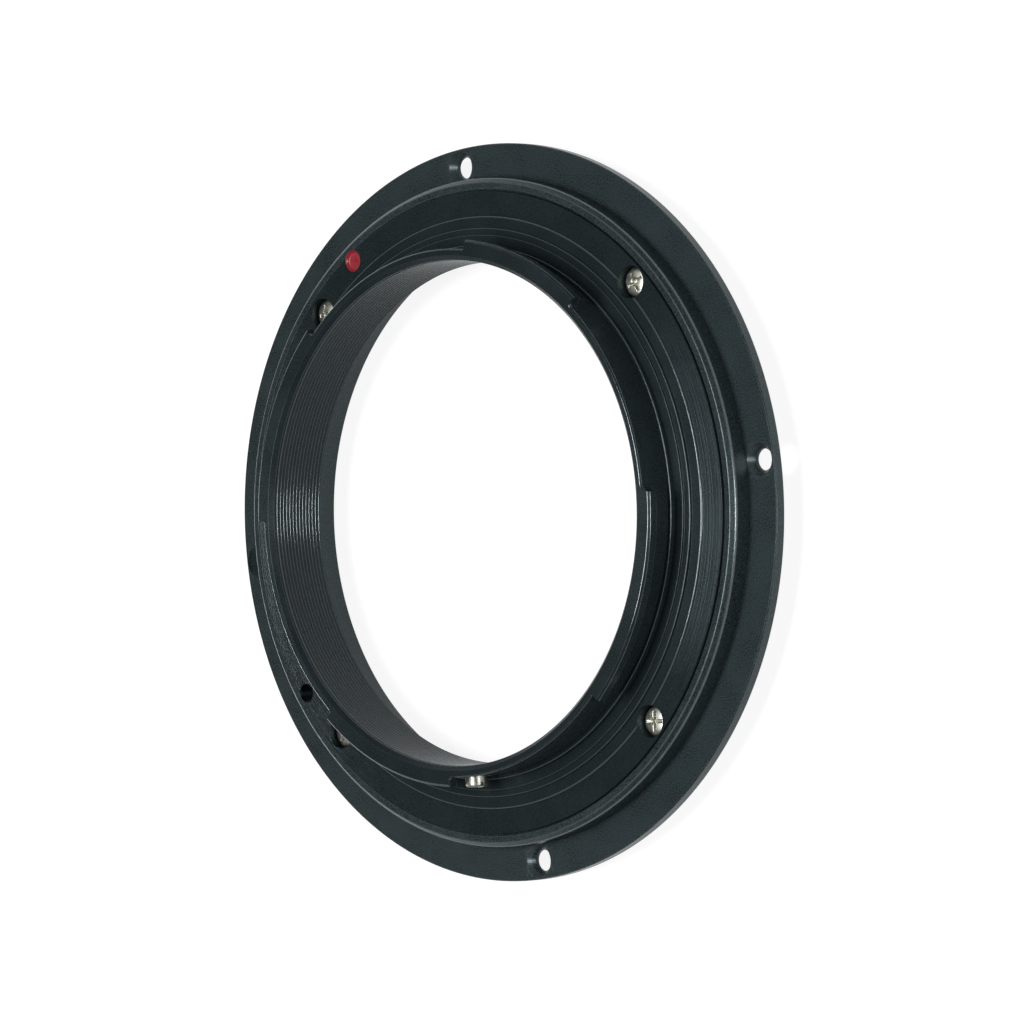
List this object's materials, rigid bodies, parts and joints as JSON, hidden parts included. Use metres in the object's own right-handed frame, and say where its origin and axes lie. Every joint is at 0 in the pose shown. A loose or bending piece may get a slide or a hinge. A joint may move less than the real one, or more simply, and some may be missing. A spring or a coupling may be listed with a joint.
{
  "type": "twist-lock lens mount",
  "caption": "Bolt-on lens mount: a flanged ring with countersunk holes carries a screwed-in bayonet ring with a lugged tube, ridged bore, stop screw and red index dot.",
  "frame": {"origin": "on the optical axis in the plane of the rear hub face, which is the lowest face", "axes": "+Z along the optical axis towards the lugs; +X is the picture's right and +Y its up, seen square on to the lugs"},
  "size_m": [0.076, 0.076, 0.0118],
  "materials": {
    "flange_black": "bead-blasted black anodise",
    "bayonet_black": "fine-turned satin black anodise",
    "screw_nickel": "bright nickel plate",
    "index_red": "glossy enamel, dished"
  },
  "bodies": {
    "root": {"flange_ring": "flange_black", "bayonet_ring": "bayonet_black", "bayonet_screws": "screw_nickel", "stop_screw": "screw_nickel", "index_dot": "index_red"}
  },
  "joints": []
}
